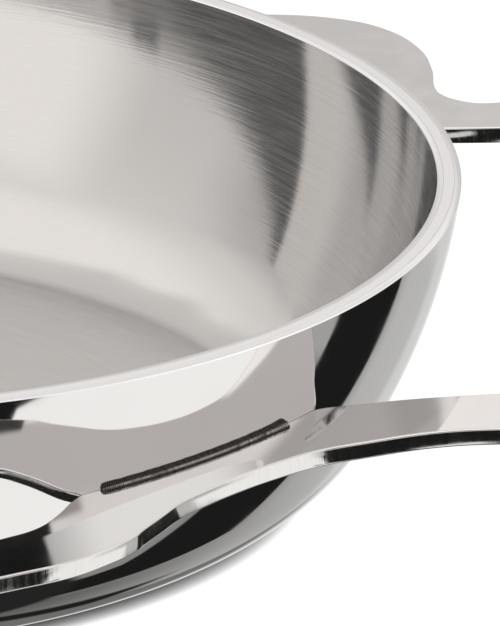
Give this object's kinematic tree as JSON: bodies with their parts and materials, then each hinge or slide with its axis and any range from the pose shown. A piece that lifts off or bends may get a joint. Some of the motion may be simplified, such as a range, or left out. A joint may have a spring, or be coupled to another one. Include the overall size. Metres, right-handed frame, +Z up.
{
  "type": "egg pan",
  "caption": "Shallow round metal pan with a flat base, rounded flared wall and flat looped plate handles welded to opposite sides.",
  "frame": {"origin": "centre of the flat base, on the surface that the pan stands on", "axes": "+Z up along the pan's axis; the loops of the handles point along +X and -X"},
  "size_m": [0.2378, 0.1976, 0.0355],
  "materials": {
    "polished_steel": "mirror-polished stainless steel",
    "satin_steel": "satin stainless steel, finely brushed round the axis",
    "aluminium_core": "plain, seen only as a line at the rim",
    "weld_metal": "dark rippled weld bead"
  },
  "bodies": {
    "root": {"outer_steel_layer": "polished_steel", "aluminium_core": "aluminium_core", "inner_steel_layer": "satin_steel", "right_handle_plate": "polished_steel", "left_handle_plate": "polished_steel", "right_weld_front_foot": "weld_metal", "right_weld_front_long": "weld_metal", "right_weld_rear_short": "weld_metal", "right_weld_rear_long": "weld_metal", "left_weld_front_foot": "weld_metal", "left_weld_front_long": "weld_metal", "left_weld_rear_short": "weld_metal", "left_weld_rear_long": "weld_metal"}
  },
  "joints": []
}
